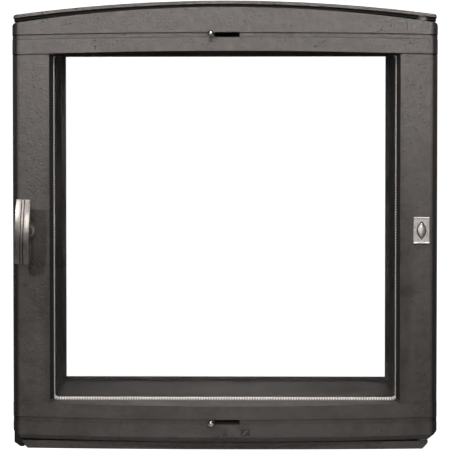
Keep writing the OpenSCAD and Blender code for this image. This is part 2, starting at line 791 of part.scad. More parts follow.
// The cover's plate with its two ridges and a raised oval, drawn with its back at y = 0
module cover_plate() {
    oval_shift = cover_oval_r - cover_oval_w / 2;
    block([-cover_w / 2, -cover_t, -cover_h / 2], [cover_w / 2, 0, cover_h / 2]);
    for (side = [-1, 1])
        translate([-cover_w / 2, -cover_t, side * (cover_h - cover_ridge) / 2])
            rotate([0, 90, 0]) cylinder(d = cover_ridge, h = cover_w, $fn = small_fn);
    translate([0, -cover_t, 0]) rotate([90, 0, 0]) linear_extrude(cover_oval_t) intersection() {
        translate([-oval_shift, 0]) circle(r = cover_oval_r);
        translate([oval_shift, 0]) circle(r = cover_oval_r);
    }
}

module blank_cover() {
    color(steel) {
        translate([cover_x, cover_seat_y, latch_z]) rotate([0, 0, cover_turn]) cover_plate();
        bar_y(hinge_x, latch_z, cover_seat_y - cover_t / 2, boss_back_y + cover_washer_t + cover_nut_t,
            cover_stud_r);
    }
}

module cover_washer() {
    color(steel) difference() {
        bar_y(hinge_x, latch_z, boss_back_y, boss_back_y + cover_washer_t, cover_washer_r);
        bar_y(hinge_x, latch_z, boss_back_y - cut, 0, cover_stud_r);
    }
}

module cover_nut() {
    front_y = boss_back_y + cover_washer_t;
    color(steel) difference() {
        bar_y(hinge_x, latch_z, front_y, front_y + cover_nut_t - cut, cover_nut_r, 6);
        bar_y(hinge_x, latch_z, front_y - cut, 0, cover_stud_r);
    }
}

// ---- latch ----

bush_flange_t = 1.5;
bush_flange_r = 9.5;
neck_r = 8;
neck_waist_r = 6.5;
lever_edge_r = 3;
lever_groove_r = 0.8;
lever_groove_x = 1.9;
lever_end_r = 6;
lever_over_turn = 2;
neck_lap = 1;
grub_in = 1;
spindle_seat = 12;
grub_r = 2.5;
spring_washer_r = 7;
tongue_screw_r = 2;
tongue_screw_reach = 12;
tongue_head_r = 5.4;
tongue_head_t = 2.2;
lever_front_y = edge_front_y - lever_out;
lever_R = (lever_len * lever_len / 4 + lever_bow * lever_bow) / (2 * lever_bow);
lever_half_turn = asin(lever_len / 2 / lever_R) + lever_over_turn;
bush_front_y = boss_front_y - bush_flange_t;
neck_back_y = bush_front_y - face_clear;
neck_front_y = lever_front_y + lever_t - neck_lap;
spindle_front_y = neck_back_y - spindle_seat;
grub_y = neck_back_y - spindle_seat / 2;

module spindle_bush() {
    color(steel) difference() {
        union() {
            bar_y(latch_x, latch_z, boss_front_y - cut, boss_back_y, bush_r, $fn);
            bar_y(latch_x, latch_z, bush_front_y, boss_front_y, bush_flange_r, $fn);
        }
        bar_y(latch_x, latch_z, bush_front_y - cut, 0, spindle_r + running_clear, $fn);
    }
}

// The square under the tongue ends just short of its back, so that the screw clamps the tongue
module spindle() {
    color(steel) difference() {
        union() {
            bar_y(latch_x, latch_z, spindle_front_y, tongue_front_y, spindle_r, $fn);
            block([latch_x - tongue_square / 2, tongue_front_y - cut, latch_z - tongue_square / 2],
                [latch_x + tongue_square / 2, tongue_back_y - face_clear, latch_z + tongue_square / 2]);
        }
        bar_y(latch_x, latch_z, tongue_front_y - tongue_screw_reach, 0, tongue_screw_r);
    }
}

module spring_washer() {
    color(steel) difference() {
        bar_y(latch_x, latch_z, boss_back_y + face_clear, tongue_front_y, spring_washer_r, $fn);
        bar_y(latch_x, latch_z, boss_back_y - cut, 0, spindle_r, $fn);
    }
}

// The tongue hangs free of the keeper, turned outwards from its locked place
module latch_tongue() {
    color(steel) difference() {
        translate([latch_x, tongue_back_y, latch_z]) rotate([0, tongue_turn, 0])
            rotate([90, 0, 0]) linear_extrude(tongue_t) {
                circle(r = neck_waist_r);
                translate([-tongue_w / 2, -(tongue_reach - tongue_w / 2)])
                    square([tongue_w, tongue_reach - tongue_w / 2]);
                translate([0, -(tongue_reach - tongue_w / 2)]) circle(d = tongue_w);
            }
        block([latch_x - tongue_square / 2, tongue_front_y - cut, latch_z - tongue_square / 2],
            [latch_x + tongue_square / 2, tongue_back_y + cut, latch_z + tongue_square / 2]);
    }
}

module tongue_screw() {
    color(steel) {
        bar_y(latch_x, latch_z, tongue_front_y - tongue_screw_reach, tongue_back_y, tongue_screw_r);
        bar_y(latch_x, latch_z, tongue_back_y, tongue_back_y + tongue_head_t, tongue_head_r);
    }
}

// Cross-section of the lever: rounded edges and two grooves along its front
module lever_section() {
    difference() {
        rounded_rect(lever_t, lever_w, lever_edge_r);
        for (side = [-1, 1])
            translate([lever_t / 2, side * lever_groove_x]) circle(r = lever_groove_r, $fn = small_fn);
    }
}

module handle_lever() {
    color(steel) translate([latch_x, 0, latch_z]) rotate([0, lever_lean, 0]) difference() {
        union() {
            intersection() {
                translate([0, lever_front_y + lever_R, 0]) rotate([0, 90, 0])
                    rotate([0, 0, -90 - lever_half_turn])
                        rotate_extrude(angle = 2 * lever_half_turn, $fn = arc_fn)
                            translate([lever_R - lever_t / 2, 0]) lever_section();
                front_prism(0, -lever_front_y + cut) rounded_rect(lever_w + cut, lever_len, lever_end_r);
            }
            translate([0, neck_front_y, 0]) rotate([-90, 0, 0])
                cylinder(r1 = neck_waist_r, r2 = neck_r, h = neck_back_y - neck_front_y);
        }
        bar_y(0, 0, spindle_front_y, neck_back_y + cut, spindle_r, $fn);
        translate([0, grub_y, -neck_r - cut]) cylinder(r = grub_r, h = neck_r + cut, $fn = small_fn);
    }
}

module handle_grub_screw() {
    color(steel) translate([latch_x, 0, latch_z]) rotate([0, lever_lean, 0])
        translate([0, grub_y, -neck_r + grub_in])
            cylinder(r = grub_r, h = neck_r - grub_in - spindle_r, $fn = small_fn);
}

// ---- air slides ----

slide_y0 = slide_seat_y + face_clear;
slide_y1 = slide_y0 + slide_t;
slide_x0 = -72;
slide_x1 = 60;
port_start = 4;
port_end_in = 1;
port_short = 0.6;
guide_gap = 0.2;
port_x0 = knob_x + port_start;
port_x1 = slot_x0 + slot_len - port_end_in;
port_h = strip_h - port_short;
guide_slot_r = guide_screw_r + guide_gap;
guide_head_r = 3.6;
guide_head_t = 2;
rivet_r = 3.2;
rivet_t = 1;
knob_y = face_front_y - knob_out;

module slide_plate(z) {
    color(iron) difference() {
        block([slide_x0, slide_y0, z - slide_h / 2], [slide_x1, slide_y1, z + slide_h / 2]);
        block([port_x0, slide_y0 - cut, z - port_h / 2], [port_x1, slide_y1 + cut, z + port_h / 2]);
        bar_y(knob_x, z, slide_y0 - cut, slide_y1 + cut, stem_r);
        for (x = guide_screw_x) {
            block([x - slide_travel, slide_y0 - cut, z - guide_slot_r],
                [x, slide_y1 + cut, z + guide_slot_r]);
            for (end = [x - slide_travel, x])
                bar_y(end, z, slide_y0 - cut, slide_y1 + cut, guide_slot_r);
        }
    }
}

module knob(z) {
    color(steel) {
        bar_y(knob_x, z, knob_y, slide_y1 + cut / 2, stem_r);
        translate([knob_x, knob_y, z]) sphere(d = knob_d, $fn = $fn);
        bar_y(knob_x, z, slide_y1, slide_y1 + rivet_t, rivet_r);
    }
}

module guide_screws(z) {
    color(steel) for (x = guide_screw_x) {
        bar_y(x, z, slide_seat_y - guide_screw_grip, slide_y1 + face_clear, guide_screw_r);
        bar_y(x, z, slide_y1 + face_clear, slide_y1 + face_clear + guide_head_t, guide_head_r);
    }
}

module upper_slide_plate() slide_plate(slot_z[1]);
module lower_slide_plate() slide_plate(slot_z[0]);
module upper_knob() knob(slot_z[1]);
module lower_knob() knob(slot_z[0]);
module upper_guide_screws() guide_screws(slot_z[1]);
module lower_guide_screws() guide_screws(slot_z[0]);

frame_casting();
keeper();
keeper_screws();
upper_hinge_pin();
lower_hinge_pin();
hinge_washer();
door_casting();
door_rope_seal();
glass_pane();
glass_rope_seal();
glass_clips();
clip_screws();
blank_cover();
cover_washer();
cover_nut();
spindle_bush();
upper_guide_screws();
lower_guide_screws();
handle_lever();
handle_grub_screw();
spindle();
spring_washer();
latch_tongue();
tongue_screw();
upper_slide_plate();
upper_knob();
lower_slide_plate();
lower_knob();
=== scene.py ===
"""Looks of the fireplace glass door, in metres, in the part's own frame.

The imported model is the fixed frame. This script gives every piece its material, lays braided
ropes over the two plain rope seals and a square-ended lever over the plain one, puts a domed
lens on the cover, adds the small air marks, and sets the camera, the lights and the stage.
"""

import math

import bmesh
import bpy
import numpy as np
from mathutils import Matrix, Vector


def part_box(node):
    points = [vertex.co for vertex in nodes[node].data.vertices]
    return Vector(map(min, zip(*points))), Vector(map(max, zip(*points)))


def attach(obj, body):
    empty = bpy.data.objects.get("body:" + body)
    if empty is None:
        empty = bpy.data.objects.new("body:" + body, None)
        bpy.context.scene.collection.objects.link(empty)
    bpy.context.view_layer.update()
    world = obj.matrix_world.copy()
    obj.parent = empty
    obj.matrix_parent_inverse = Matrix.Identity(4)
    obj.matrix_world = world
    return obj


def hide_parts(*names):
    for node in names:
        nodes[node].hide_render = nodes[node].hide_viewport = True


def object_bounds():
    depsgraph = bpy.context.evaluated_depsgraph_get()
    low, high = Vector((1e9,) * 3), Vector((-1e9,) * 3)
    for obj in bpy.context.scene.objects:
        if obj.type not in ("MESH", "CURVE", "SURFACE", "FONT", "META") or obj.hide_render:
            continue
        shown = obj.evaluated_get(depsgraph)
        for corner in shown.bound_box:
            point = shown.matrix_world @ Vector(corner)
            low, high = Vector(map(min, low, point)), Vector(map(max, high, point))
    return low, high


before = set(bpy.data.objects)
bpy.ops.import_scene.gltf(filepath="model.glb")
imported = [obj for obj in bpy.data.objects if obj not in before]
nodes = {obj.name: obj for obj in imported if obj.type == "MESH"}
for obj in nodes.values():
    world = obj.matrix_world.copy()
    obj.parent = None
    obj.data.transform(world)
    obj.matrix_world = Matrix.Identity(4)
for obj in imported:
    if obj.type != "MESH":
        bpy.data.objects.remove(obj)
cad_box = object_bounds()
scene = bpy.context.scene
MM = 0.001

# The leaf's and the frame's fronts are bowed about upright axes at x = 0 and these y.
LEAF_BOW_R, LEAF_BOW_Y = 1.3164, 1.2574
FRAME_BOW_R, FRAME_BOW_Y = 3.725, 3.684
STILE_SET_BACK = 1.0 * MM


# ---------------------------------------------------------------- node helpers

def new_node(tree, kind, inputs=None, **settings):
    """A node of a kind with its settings and its sockets' values or links."""
    node = tree.nodes.new(kind)
    for key, value in settings.items():
        setattr(node, key, value)
    for key, value in (inputs or {}).items():
        set_socket(tree, node.inputs[key], value)
    return node


def set_socket(tree, socket, value):
    """Links a socket to another one, or gives it a plain value."""
    if isinstance(value, bpy.types.NodeSocket):
        tree.links.new(value, socket)
    else:
        socket.default_value = value


def math_node(tree, operation, a, b=0.0, clamp=False):
    """a operation b as a socket."""
    return new_node(tree, "ShaderNodeMath", {0: a, 1: b}, operation=operation,
                    use_clamp=clamp).outputs[0]


def weighted_sum(tree, *terms):
    """The sum of (value, weight) pairs as a socket."""
    total = None
    for value, weight in terms:
        part = math_node(tree, "MULTIPLY", value, weight)
        total = part if total is None else math_node(tree, "ADD", total, part)
    return total


def noise(tree, place, scale, detail=2.0, rough=0.5):
    """Noise from 0 to 1 with lumps of about 1/scale metres."""
    return new_node(tree, "ShaderNodeTexNoise",
                    {"Vector": place, "Scale": scale, "Detail": detail, "Roughness": rough}
                    ).outputs["Fac"]


def ramp(tree, value, low, high, to_low=0.0, to_high=1.0):
    """value taken from low..high to to_low..to_high, and held at the ends."""
    return new_node(tree, "ShaderNodeMapRange",
                    {"Value": value, "From Min": low, "From Max": high,
                     "To Min": to_low, "To Max": to_high}).outputs["Result"]


def mix_colour(tree, share, a, b):
    """Colour a at share 0 and b at share 1."""
    return new_node(tree, "ShaderNodeMix", {0: share, 6: a, 7: b}, data_type="RGBA").outputs[2]


def rgb(red, green, blue):
    """A colour with full alpha."""
    return (red, green, blue, 1.0)


def new_group(name, inputs, outputs):
    """An empty shader node group with float inputs {name: value} and float outputs."""
    group = bpy.data.node_groups.new(name, "ShaderNodeTree")
    for key, value in inputs.items():
        socket = group.interface.new_socket(key, in_out="INPUT", socket_type="NodeSocketFloat")
        socket.default_value = value
    for key in outputs:
        group.interface.new_socket(key, in_out="OUTPUT", socket_type="NodeSocketFloat")
    start = group.nodes.new("NodeGroupInput")
    end = group.nodes.new("NodeGroupOutput")
    return group, start.outputs, end.inputs


def object_place(tree, stretch=None):
    """Object coordinates, stretched along each axis if asked."""
    place = tree.nodes.new("ShaderNodeTexCoord").outputs["Object"]
    if stretch is None:
        return place
    return new_node(tree, "ShaderNodeMapping", {"Vector": place, "Scale": stretch}).outputs[0]


# ---------------------------------------------------------------- shared patterns

# Lumps per metre of each pattern.
IRON_GRAIN, IRON_SWELL, PIT_CELLS, PIT_AREAS = 420.0, 34.0, 230.0, 90.0
BRUSH_ACROSS, BRUSH_ALONG, BRUSH_SPOTS = 2600.0, 90.0, 420.0
SPECKLE, SPECKLE_CLOUDS = 1100.0, 160.0
THREADS, ROPE_DUST, GLASS_HAZE, PAPER_GRAIN = 2600.0, 45.0, 9.0, 60.0
# The iron's lumps per grain, and the range that most of a noise lies in.
LUMPS_PER_GRAIN = 0.3
NOISE_LOW, NOISE_HIGH = 0.35, 0.65


def cast_grain_group():
    """Sand-cast grain: fine grains on low lumps, with small pits, as height, tone and sheen.

    Height = 0.5 grain + 0.35 lumps + 0.15 swell - 0.6 pits. Tone follows the slow swell and the
    lumps, and is darker in the pits with painted shade. Sheen is half grain and half swell."""
    group, take, give = new_group("cast_grain", {"Grain": IRON_GRAIN},
                                  ("Height", "Tone", "Sheen"))
    place = object_place(group)
    grain = noise(group, place, take["Grain"], 3.0, 0.6)
    lumps = noise(group, place, math_node(group, "MULTIPLY", take["Grain"], LUMPS_PER_GRAIN))
    swell = noise(group, place, IRON_SWELL)
    cells = new_node(group, "ShaderNodeTexVoronoi", {"Vector": place, "Scale": PIT_CELLS})
    pits = ramp(group, cells.outputs["Distance"], 0.08, 0.24, 1.0, 0.0)
    pitted = ramp(group, noise(group, place, PIT_AREAS, 1.0), 0.44, 0.58)
    pits = math_node(group, "MULTIPLY", pits, pitted)
    group.links.new(weighted_sum(group, (grain, 0.5), (lumps, 0.35), (swell, 0.15),
                                 (pits, -0.6)), give["Height"])
    # Painted shade: the tone is darker in the pits.
    group.links.new(weighted_sum(group, (swell, 0.6), (lumps, 0.4), (pits, -0.3)), give["Tone"])
    group.links.new(weighted_sum(group, (grain, 0.5), (swell, 0.5)), give["Sheen"])
    return group


def brushed_group():
    """Fine brushing: noise drawn out along Z, with faint spots."""
    group, take, give = new_group("brushed", {"Fine": 1.0}, ("Height", "Tone"))
    drawn_out = object_place(group, (BRUSH_ACROSS, BRUSH_ACROSS, BRUSH_ALONG))
    streaks = noise(group, drawn_out, take["Fine"], 3.0)
    spots = noise(group, object_place(group), BRUSH_SPOTS)
    group.links.new(weighted_sum(group, (streaks, 0.8), (spots, 0.2)), give["Height"])
    group.links.new(weighted_sum(group, (streaks, 0.5), (spots, 0.5)), give["Tone"])
    return group


def speckled_group():
    """Fine cast speckle for satin castings: even small grains with slow cloudy tone."""
    group, take, give = new_group("speckled", {"Fine": 1.0}, ("Height", "Tone"))
    place = object_place(group)
    grains = noise(group, place, math_node(group, "MULTIPLY", take["Fine"], SPECKLE), 2.0, 0.6)
    clouds = noise(group, place, SPECKLE_CLOUDS)
    group.links.new(grains, give["Height"])
    group.links.new(weighted_sum(group, (grains, 0.7), (clouds, 0.3)), give["Tone"])
    return group


def recess_group():
    """A mask of painted shade: depth behind a bowed front, and nearness to the leaf's upright edges.

    Depth = Radius - the distance to the bow's upright axis at y = Centre. Shade rises from 0 to 1
    over Start to End of depth, between z = Low and High and within Half of the middle, or over
    Side Start to Side End of the distance from the middle, and only in front of y = Back."""
    group, take, give = new_group(
        "recess", {"Radius": 1.0, "Centre": 1.0, "Start": 0.0017, "End": 0.0023,
                   "Side Start": 1.0, "Side End": 1.1, "Half": 1.0, "Back": 1.0, "Low": -1.0,
                   "High": 1.0}, ("Shade",))
    part = new_node(group, "ShaderNodeSeparateXYZ", {"Vector": object_place(group)}).outputs
    along = math_node(group, "SUBTRACT", part["Y"], take["Centre"])
    reach = math_node(group, "SQRT", math_node(
        group, "ADD", math_node(group, "MULTIPLY", part["X"], part["X"]),
        math_node(group, "MULTIPLY", along, along)))
    depth = math_node(group, "SUBTRACT", take["Radius"], reach)
    aside = math_node(group, "ABSOLUTE", part["X"])
    deep = ramp(group, depth, take["Start"], take["End"])
    for test, value, limit in (("GREATER_THAN", part["Z"], take["Low"]),
                               ("LESS_THAN", part["Z"], take["High"]),
                               ("LESS_THAN", aside, take["Half"])):
        deep = math_node(group, "MULTIPLY", deep, math_node(group, test, value, limit))
    side = ramp(group, aside, take["Side Start"], take["Side End"])
    near = math_node(group, "LESS_THAN", part["Y"], take["Back"])
    shade = math_node(group, "MULTIPLY", math_node(group, "MAXIMUM", deep, side), near)
    group.links.new(shade, give["Shade"])
    return group


CAST_GRAIN = cast_grain_group()
BRUSHED = brushed_group()
SPECKLED = speckled_group()
RECESS = recess_group()


# ---------------------------------------------------------------- materials

# Painted shade: near-black, dull iron laid on recesses, bevels and the leaf's upright edges.
PAINTED_SHADE = rgb(0.007, 0.0065, 0.006)
PAINTED_SHADE_ROUGH = 0.97
IRON_SPECULAR = 0.9
IRON_RELIEF, METAL_RELIEF, ROPE_RELIEF = 0.9 * MM, 0.05 * MM, 0.15 * MM


def new_material(name):
    """An empty material with a Principled shader: (material, tree, shader)."""
    material = bpy.data.materials.new(name)
    material.use_nodes = True
    tree = material.node_tree
    return material, tree, tree.nodes["Principled BSDF"]


def place_group(tree, group, values):
    """A group in a material with its own values, as the group's outputs."""
    return new_node(tree, "ShaderNodeGroup", values, node_tree=group).outputs


def add_bump(tree, shader, height, strength, relief):
    """Bump of a relief in metres on a shader."""
    bump = new_node(tree, "ShaderNodeBump",
                    {"Strength": strength, "Distance": relief, "Height": height})
    tree.links.new(bump.outputs["Normal"], shader.inputs["Normal"])


def iron_material(name, dark, light, rough, sheen_span, grain=IRON_GRAIN, bump=1.0,
                  recess=None, shade_gloss_loss=0.0):
    """Painted cast iron: dark to light with the grain's tone, and a broken sheen.

    recess holds values of the recess group: there the iron takes painted shade, darker and
    duller, and a share shade_gloss_loss of its gloss is lost, by Metallic over a black base."""
    material, tree, shader = new_material(name)
    cast = place_group(tree, CAST_GRAIN, {"Grain": grain})
    colour = mix_colour(tree, ramp(tree, cast["Tone"], 0.36, 0.64), dark, light)
    dull = ramp(tree, cast["Sheen"], NOISE_LOW, NOISE_HIGH, rough - sheen_span,
                rough + sheen_span)
    if recess:
        # Painted shade in the recesses and on the upright edges: darker, duller and less glossy.
        shade = place_group(tree, RECESS, recess)["Shade"]
        colour = mix_colour(tree, shade, colour, PAINTED_SHADE)
        dull = math_node(tree, "MAXIMUM", dull, math_node(tree, "MULTIPLY", shade, PAINTED_SHADE_ROUGH))
        if shade_gloss_loss:
            tree.links.new(math_node(tree, "MULTIPLY", shade, shade_gloss_loss), shader.inputs["Metallic"])
    tree.links.new(colour, shader.inputs["Base Color"])
    tree.links.new(dull, shader.inputs["Roughness"])
    shader.inputs["Specular IOR Level"].default_value = IRON_SPECULAR
    add_bump(tree, shader, cast["Height"], bump, IRON_RELIEF)
    return material


def metal_material(name, dark, light, rough, span, bump=0.15, fine=1.0, pattern=BRUSHED):
    """Metal with fine brushing or speckle: tone and roughness follow the pattern."""
    material, tree, shader = new_material(name)
    surface = place_group(tree, pattern, {"Fine": fine})
    tone = ramp(tree, surface["Tone"], NOISE_LOW, NOISE_HIGH)
    tree.links.new(mix_colour(tree, tone, dark, light), shader.inputs["Base Color"])
    dull = ramp(tree, surface["Height"], NOISE_LOW, NOISE_HIGH, rough - span, rough + span)
    tree.links.new(dull, shader.inputs["Roughness"])
    shader.inputs["Metallic"].default_value = 1.0
    add_bump(tree, shader, surface["Height"], bump, METAL_RELIEF)
    return material


def rope_material(name, dark, light):
    """Glass fibre: fine threads, darker between them and dusty in places."""
    material, tree, shader = new_material(name)
    place = object_place(tree)
    threads = noise(tree, place, THREADS, 3.0, 0.6)
    dust = noise(tree, place, ROPE_DUST, 3.0, 0.6)
    base = mix_colour(tree, ramp(tree, threads, 0.3, 0.6), dark, light)
    base = mix_colour(tree, ramp(tree, dust, 0.5, 0.8, 0.0, 0.35), base, dark)
    tree.links.new(base, shader.inputs["Base Color"])
    tree.links.new(ramp(tree, threads, 0.3, 0.7, 0.62, 0.9), shader.inputs["Roughness"])
    shader.inputs["Sheen Weight"].default_value = 0.25
    add_bump(tree, shader, threads, 0.6, ROPE_RELIEF)
    return material


def glass_material():
    """Clear ceramic glass with a faint haze in clouds."""
    material, tree, shader = new_material("clear_glass")
    haze = noise(tree, object_place(tree), GLASS_HAZE, 4.0, 0.6)
    tree.links.new(ramp(tree, haze, 0.4, 0.75, 0.0, 0.03), shader.inputs["Roughness"])
    tint = mix_colour(tree, ramp(tree, haze, 0.35, 0.7), rgb(0.985, 0.985, 0.975),
                      rgb(0.96, 0.965, 0.955))
    tree.links.new(tint, shader.inputs["Base Color"])
    shader.inputs["Transmission Weight"].default_value = 1.0
    shader.inputs["IOR"].default_value = 1.47
    return material


# Values of the recess group, for painted shade on the window's bevel and strips, the upright
# edges of the leaf, and what lies 5 mm behind the frame's bowed front.
LEAF_RECESS = {"Radius": LEAF_BOW_R, "Centre": LEAF_BOW_Y, "Start": 0.0014, "End": 0.002,
               "Side Start": 0.2352, "Side End": 0.2395, "Half": 0.2035, "Low": 0.032,
               "High": 0.4475, "Back": -0.0225}
FRAME_RECESS = {"Radius": FRAME_BOW_R, "Centre": FRAME_BOW_Y, "Start": 0.0045, "End": 0.0055,
                "Back": -0.012}

IRON = {"dark": rgb(0.024, 0.022, 0.0205), "light": rgb(0.052, 0.0485, 0.046), "rough": 0.56,
        "sheen_span": 0.12}
LEAF_IRON = iron_material("leaf_iron", **IRON, recess=LEAF_RECESS, shade_gloss_loss=0.35)
FRAME_IRON = iron_material("frame_iron", **IRON, recess=FRAME_RECESS)
MARK_DARK = iron_material("mark_dark", dark=rgb(0.012, 0.0115, 0.011),
                          light=rgb(0.02, 0.019, 0.018), rough=0.8, sheen_span=0.06)
MARK_LIGHT = iron_material("mark_light", dark=rgb(0.09, 0.085, 0.08),
                           light=rgb(0.13, 0.125, 0.12), rough=0.6, sheen_span=0.06)
SLIDE_PAINT = iron_material("slide_iron", dark=rgb(0.03, 0.029, 0.028),
                            light=rgb(0.045, 0.043, 0.042), rough=0.55, sheen_span=0.08,
                            grain=1500.0, bump=0.2)
SATIN_SILVER = metal_material("satin_silver", dark=rgb(0.2, 0.193, 0.187), light=rgb(0.38, 0.37, 0.36),
                              rough=0.34, span=0.06, bump=0.3, pattern=SPECKLED)
COVER_SILVER = metal_material("cover_silver", dark=rgb(0.34, 0.33, 0.32), light=rgb(0.82, 0.81, 0.79),
                              rough=0.46, span=0.08, bump=0.6, pattern=SPECKLED)
# Painted highlight: a lighter silver for the cover's ridges.
RIDGE_SILVER = metal_material("ridge_silver", dark=rgb(0.84, 0.83, 0.81), light=rgb(0.95, 0.94, 0.92),
                              rough=0.5, span=0.04)
BRIGHT_SILVER = metal_material("bright_silver", dark=rgb(0.4, 0.39, 0.38), light=rgb(0.52, 0.51, 0.5),
                               rough=0.17, span=0.04)
ZINC_STEEL = metal_material("zinc_steel", dark=rgb(0.2, 0.198, 0.19), light=rgb(0.33, 0.325, 0.315),
                            rough=0.42, span=0.08, fine=0.6)
# Painted shade for the lever's grooves and the rim round the cover's lens.
GROOVE_SHADE = metal_material("groove_shade", dark=rgb(0.03, 0.029, 0.028),
                              light=rgb(0.06, 0.058, 0.056), rough=0.6, span=0.05, pattern=SPECKLED)
ROPE_WHITE = rope_material("glass_fibre", dark=rgb(0.78, 0.77, 0.75), light=rgb(0.97, 0.965, 0.955))
# Painted shade: a darker copy of the glass fibre for the braid's gaps and core.
ROPE_SHADED = rope_material("fibre_painted_shade", dark=rgb(0.2, 0.195, 0.185), light=rgb(0.46, 0.45, 0.43))
CLEAR_GLASS = glass_material()

FINISHES = {
    "frame_casting": FRAME_IRON, "door_casting": LEAF_IRON, "handle_lever": SATIN_SILVER,
    "blank_cover": COVER_SILVER, "upper_knob": BRIGHT_SILVER, "lower_knob": BRIGHT_SILVER,
    "upper_slide_plate": SLIDE_PAINT, "lower_slide_plate": SLIDE_PAINT, "glass_pane": CLEAR_GLASS,
    "door_rope_seal": ROPE_WHITE, "glass_rope_seal": ROPE_WHITE,
}
for name, node_object in nodes.items():
    node_object.data.materials.clear()
    node_object.data.materials.append(FINISHES.get(name, ZINC_STEEL))


# ---------------------------------------------------------------- mesh helpers

def mesh_object(name, places, faces, material, smooth=True):
    """A new object at the origin from places (n, 3) and faces of equal or mixed length."""
    mesh = bpy.data.meshes.new(name)
    mesh.from_pydata(np.asarray(places).tolist(), [], [list(map(int, face)) for face in faces])
    mesh.materials.append(material)
    mesh.polygons.foreach_set("use_smooth", np.full(len(mesh.polygons), smooth))
    mesh.update()
    piece = bpy.data.objects.new(name, mesh)
    scene.collection.objects.link(piece)
    return piece


def join_doubles(mesh, reach=1e-7):
    """Joins a mesh's points that lie within reach of each other, so that its tips close."""
    work = bmesh.new()
    work.from_mesh(mesh)
    bmesh.ops.remove_doubles(work, verts=work.verts, dist=reach)
    work.to_mesh(mesh)
    work.free()


def grid_faces(rows, columns, wrap=False, close=False):
    """Quads of a grid of rows x columns points.

    wrap joins the last column to the first, and close joins the last row to the first."""
    row = np.arange(rows if close else rows - 1)[:, None]
    column = np.arange(columns if wrap else columns - 1)[None, :]
    here, above = row * columns, (row + 1) % rows * columns
    after = (column + 1) % columns
    corners = (here + column, here + after, above + after, above + column)
    return np.stack(corners, -1).reshape(-1, 4)


# ---------------------------------------------------------------- rope seals

ROPE_BEND = 6.0 * MM
CORE_SIDES, STRAND_SIDES = 10, 5
# A strand's half thickness is a share of the rope's radius, and its half width a share of the
# room that one strand has round the rope. Its depth and its rise are in half thicknesses.
STRAND_THICK, STRAND_WIDE = 0.17, 0.9
STRAND_DEPTH, STRAND_RISE = 1.85, 0.75


def ring_path(half_w, z0, z1, bend, y, step):
    """Points along an upright rectangle with bent corners, with their outward directions.

    Returns (points, outward, length), evenly spaced, anticlockwise seen from the room."""
    runs = []
    corners = [(half_w - bend, z1 - bend, 0), (-half_w + bend, z1 - bend, 90),
               (-half_w + bend, z0 + bend, 180), (half_w - bend, z0 + bend, 270)]
    for k, (cx, cz, turn) in enumerate(corners):
        nx, nz, _ = corners[(k + 1) % 4]
        runs.append(("bend", cx, cz, math.radians(turn), bend * math.pi / 2))
        runs.append(("line", cx, cz, math.radians(turn + 90), math.hypot(nx - cx, nz - cz)))
    total = sum(run[-1] for run in runs)
    count = round(total / step)
    marks = np.arange(count) * total / count
    points = np.zeros((count, 3))
    outward = np.zeros((count, 3))
    start = 0.0
    for kind, cx, cz, angle, size in runs:
        inside = (marks >= start) & (marks < start + size)
        along = marks[inside] - start
        corner = np.array([cx, y, cz])
        if kind == "bend":
            a = angle + along / bend
            out = np.stack([np.cos(a), np.zeros_like(a), np.sin(a)], 1)
            points[inside] = corner + bend * out
        else:
            out = np.array([math.cos(angle), 0.0, math.sin(angle)])
            way = np.array([-math.sin(angle), 0.0, math.cos(angle)])
            points[inside] = corner + bend * out + along[:, None] * way
        outward[inside] = out
        start += size
    return points, outward, total


def ring_tubes(line, outward, radius, angle):
    """Closed tubes round a ring's line, as (points, faces).

    radius and angle place the tubes' sides about the line, and broadcast to (tubes, points of
    the line, sides): point = line + outward r cos a + Y r sin a."""
    radius, angle = np.broadcast_arrays(radius, angle)
    tubes, count, sides = angle.shape
    behind = np.array([0.0, 1.0, 0.0])
    points = (line[:, None] + outward[:, None] * (radius * np.cos(angle))[..., None]
              + behind * (radius * np.sin(angle))[..., None])
    base = np.arange(tubes)[:, None, None] * count * sides
    faces = base + grid_faces(count, sides, wrap=True, close=True)
    return points.reshape(-1, 3), faces.reshape(-1, 4)


def braided_ring(name, half_w, z0, z1, y, rope_r, strands, pitch, step):
    """A round braid along a ring: light strands one way, strands in painted shade the other way.

    Strand i of n at distance s along the ring lies at angle +-2 pi (s / pitch + i / n) and at
    radius middle +- rise cos(2 pi n s / pitch), and its own section is a flat ellipse. The pitch
    is fitted to a whole number of turns, and a round core fills the middle."""
    line, outward, total = ring_path(half_w, z0, z1, ROPE_BEND, y, step)
    count = len(line)
    along = 2 * math.pi * round(total / pitch) * np.arange(count)[:, None] / count
    around = 2 * math.pi * np.arange(strands)[:, None, None] / strands
    strand_section = 2 * math.pi * np.arange(STRAND_SIDES) / STRAND_SIDES
    core_section = 2 * math.pi * np.arange(CORE_SIDES) / CORE_SIDES
    thick = rope_r * STRAND_THICK
    wide = rope_r * math.pi / strands * STRAND_WIDE
    middle, rise = rope_r - STRAND_DEPTH * thick, STRAND_RISE * thick

    parts = []
    for way in (1, -1):
        section = strand_section[::way]
        radius = middle + way * rise * np.cos(strands * along) + thick * np.sin(section)
        angle = way * (along + around) + wide * np.cos(section) / middle
        points, quads = ring_tubes(line, outward, radius, angle)
        # The strands of one way mirror those of the other, so their faces are turned round.
        parts.append((points, quads[:, [0, 3, 2, 1]] if way == 1 else quads))
    core_angle = np.broadcast_to(core_section, (1, count, CORE_SIDES))
    parts.append(ring_tubes(line, outward, middle - rise, core_angle))

    places, faces, base = [], [], 0
    for points, quads in parts:
        places.append(points)
        faces.append(quads + base)
        base += len(points)
    piece = mesh_object(name, np.concatenate(places), np.concatenate(faces), ROPE_WHITE)
    # The other way's strands and the core take the darker fibre: painted shade between strands.
    piece.data.materials.append(ROPE_SHADED)
    slots = np.ones(len(piece.data.polygons), dtype=np.int32)
    slots[:len(faces[0])] = 0
    piece.data.polygons.foreach_set("material_index", slots)
    return piece


